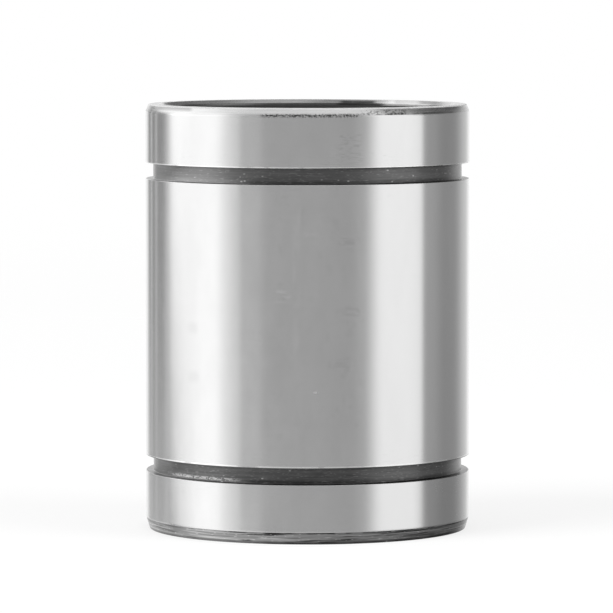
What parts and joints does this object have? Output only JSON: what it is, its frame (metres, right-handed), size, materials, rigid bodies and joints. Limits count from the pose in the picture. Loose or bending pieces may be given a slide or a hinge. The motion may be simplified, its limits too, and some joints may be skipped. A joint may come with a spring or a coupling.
{
  "type": "linear ball bearing",
  "caption": "Closed steel linear ball bearing for a round shaft, with recirculating ball circuits, rubber end seals and outside grooves for retaining rings.",
  "frame": {"origin": "centre of the lower end face, on the bearing's axis", "axes": "+Z along the bearing's axis, from the lower end face to the upper; +X towards the loaded row of circuit 1"},
  "size_m": [0.032, 0.032, 0.042],
  "materials": {
    "ground_steel": "hardened bearing steel, ground outside, turned in the grooves and on the lead-ins",
    "ball_steel": "polished bearing balls",
    "spring_steel": "dark spring steel",
    "retainer_plastic": "off-white moulded plastic",
    "seal_rubber": "black moulded rubber"
  },
  "bodies": {
    "housing": {"outer_cylinder": "ground_steel", "ball_retainer": "retainer_plastic", "upper_seal": "seal_rubber", "lower_seal": "seal_rubber", "upper_snap_ring": "spring_steel", "lower_snap_ring": "spring_steel"},
    "circuit_1_loaded": {"circuit_1_loaded_balls": "ball_steel"},
    "circuit_1_return": {"circuit_1_return_balls": "ball_steel"},
    "circuit_1_upper_turn": {"circuit_1_upper_turn_balls": "ball_steel"},
    "circuit_1_lower_turn": {"circuit_1_lower_turn_balls": "ball_steel"},
    "circuit_2_loaded": {"circuit_2_loaded_balls": "ball_steel"},
    "circuit_2_return": {"circuit_2_return_balls": "ball_steel"},
    "circuit_2_upper_turn": {"circuit_2_upper_turn_balls": "ball_steel"},
    "circuit_2_lower_turn": {"circuit_2_lower_turn_balls": "ball_steel"},
    "circuit_3_loaded": {"circuit_3_loaded_balls": "ball_steel"},
    "circuit_3_return": {"circuit_3_return_balls": "ball_steel"},
    "circuit_3_upper_turn": {"circuit_3_upper_turn_balls": "ball_steel"},
    "circuit_3_lower_turn": {"circuit_3_lower_turn_balls": "ball_steel"},
    "circuit_4_loaded": {"circuit_4_loaded_balls": "ball_steel"},
    "circuit_4_return": {"circuit_4_return_balls": "ball_steel"},
    "circuit_4_upper_turn": {"circuit_4_upper_turn_balls": "ball_steel"},
    "circuit_4_lower_turn": {"circuit_4_lower_turn_balls": "ball_steel"},
    "circuit_5_loaded": {"circuit_5_loaded_balls": "ball_steel"},
    "circuit_5_return": {"circuit_5_return_balls": "ball_steel"},
    "circuit_5_upper_turn": {"circuit_5_upper_turn_balls": "ball_steel"},
    "circuit_5_lower_turn": {"circuit_5_lower_turn_balls": "ball_steel"}
  },
  "joints": [
    {"name": "circuit_1_travel", "type": "slide", "parent": "housing", "child": "circuit_1_loaded", "axis": [0, 0, 1], "range_m": [-0.0015, 0.0015]},
    {"name": "circuit_1_return_travel", "type": "slide", "parent": "housing", "child": "circuit_1_return", "axis": [0, 0, -1], "range_m": [-0.0015, 0.0015]},
    {"name": "circuit_1_upper_turn_travel", "type": "hinge", "parent": "housing", "child": "circuit_1_upper_turn", "pos_m": [0.01141, 0.00286, 0.03148], "axis": [-1, 0, 0], "range_deg": [-30, 30]},
    {"name": "circuit_1_lower_turn_travel", "type": "hinge", "parent": "housing", "child": "circuit_1_lower_turn", "pos_m": [0.01141, 0.00286, 0.01052], "axis": [-1, 0, 0], "range_deg": [-30, 30]},
    {"name": "circuit_2_travel", "type": "slide", "parent": "housing", "child": "circuit_2_loaded", "axis": [0, 0, 1], "range_m": [-0.0015, 0.0015]},
    {"name": "circuit_2_return_travel", "type": "slide", "parent": "housing", "child": "circuit_2_return", "axis": [0, 0, -1], "range_m": [-0.0015, 0.0015]},
    {"name": "circuit_2_upper_turn_travel", "type": "hinge", "parent": "housing", "child": "circuit_2_upper_turn", "pos_m": [0.00081, 0.01174, 0.03148], "axis": [-0.309, -0.9511, 0], "range_deg": [-30, 30]},
    {"name": "circuit_2_lower_turn_travel", "type": "hinge", "parent": "housing", "child": "circuit_2_lower_turn", "pos_m": [0.00081, 0.01174, 0.01052], "axis": [-0.309, -0.9511, 0], "range_deg": [-30, 30]},
    {"name": "circuit_3_travel", "type": "slide", "parent": "housing", "child": "circuit_3_loaded", "axis": [0, 0, 1], "range_m": [-0.0015, 0.0015]},
    {"name": "circuit_3_return_travel", "type": "slide", "parent": "housing", "child": "circuit_3_return", "axis": [0, 0, -1], "range_m": [-0.0015, 0.0015]},
    {"name": "circuit_3_upper_turn_travel", "type": "hinge", "parent": "housing", "child": "circuit_3_upper_turn", "pos_m": [-0.01091, 0.0044, 0.03148], "axis": [0.809, -0.5878, 0], "range_deg": [-30, 30]},
    {"name": "circuit_3_lower_turn_travel", "type": "hinge", "parent": "housing", "child": "circuit_3_lower_turn", "pos_m": [-0.01091, 0.0044, 0.01052], "axis": [0.809, -0.5878, 0], "range_deg": [-30, 30]},
    {"name": "circuit_4_travel", "type": "slide", "parent": "housing", "child": "circuit_4_loaded", "axis": [0, 0, 1], "range_m": [-0.0015, 0.0015]},
    {"name": "circuit_4_return_travel", "type": "slide", "parent": "housing", "child": "circuit_4_return", "axis": [0, 0, -1], "range_m": [-0.0015, 0.0015]},
    {"name": "circuit_4_upper_turn_travel", "type": "hinge", "parent": "housing", "child": "circuit_4_upper_turn", "pos_m": [-0.00755, -0.00902, 0.03148], "axis": [0.809, 0.5878, 0], "range_deg": [-30, 30]},
    {"name": "circuit_4_lower_turn_travel", "type": "hinge", "parent": "housing", "child": "circuit_4_lower_turn", "pos_m": [-0.00755, -0.00902, 0.01052], "axis": [0.809, 0.5878, 0], "range_deg": [-30, 30]},
    {"name": "circuit_5_travel", "type": "slide", "parent": "housing", "child": "circuit_5_loaded", "axis": [0, 0, 1], "range_m": [-0.0015, 0.0015]},
    {"name": "circuit_5_return_travel", "type": "slide", "parent": "housing", "child": "circuit_5_return", "axis": [0, 0, -1], "range_m": [-0.0015, 0.0015]},
    {"name": "circuit_5_upper_turn_travel", "type": "hinge", "parent": "housing", "child": "circuit_5_upper_turn", "pos_m": [0.00624, -0.00997, 0.03148], "axis": [-0.309, 0.9511, 0], "range_deg": [-30, 30]},
    {"name": "circuit_5_lower_turn_travel", "type": "hinge", "parent": "housing", "child": "circuit_5_lower_turn", "pos_m": [0.00624, -0.00997, 0.01052], "axis": [-0.309, 0.9511, 0], "range_deg": [-30, 30]}
  ],
  "couplings": [
    {"joint": "circuit_1_return_travel", "follows": "circuit_1_travel", "ratio": 1},
    {"joint": "circuit_1_upper_turn_travel", "follows": "circuit_1_travel", "rad_per_m": 349.9},
    {"joint": "circuit_1_lower_turn_travel", "follows": "circuit_1_travel", "rad_per_m": 349.9},
    {"joint": "circuit_2_return_travel", "follows": "circuit_2_travel", "ratio": 1},
    {"joint": "circuit_2_upper_turn_travel", "follows": "circuit_2_travel", "rad_per_m": 349.9},
    {"joint": "circuit_2_lower_turn_travel", "follows": "circuit_2_travel", "rad_per_m": 349.9},
    {"joint": "circuit_3_return_travel", "follows": "circuit_3_travel", "ratio": 1},
    {"joint": "circuit_3_upper_turn_travel", "follows": "circuit_3_travel", "rad_per_m": 349.9},
    {"joint": "circuit_3_lower_turn_travel", "follows": "circuit_3_travel", "rad_per_m": 349.9},
    {"joint": "circuit_4_return_travel", "follows": "circuit_4_travel", "ratio": 1},
    {"joint": "circuit_4_upper_turn_travel", "follows": "circuit_4_travel", "rad_per_m": 349.9},
    {"joint": "circuit_4_lower_turn_travel", "follows": "circuit_4_travel", "rad_per_m": 349.9},
    {"joint": "circuit_5_return_travel", "follows": "circuit_5_travel", "ratio": 1},
    {"joint": "circuit_5_upper_turn_travel", "follows": "circuit_5_travel", "rad_per_m": 349.9},
    {"joint": "circuit_5_lower_turn_travel", "follows": "circuit_5_travel", "rad_per_m": 349.9}
  ]
}
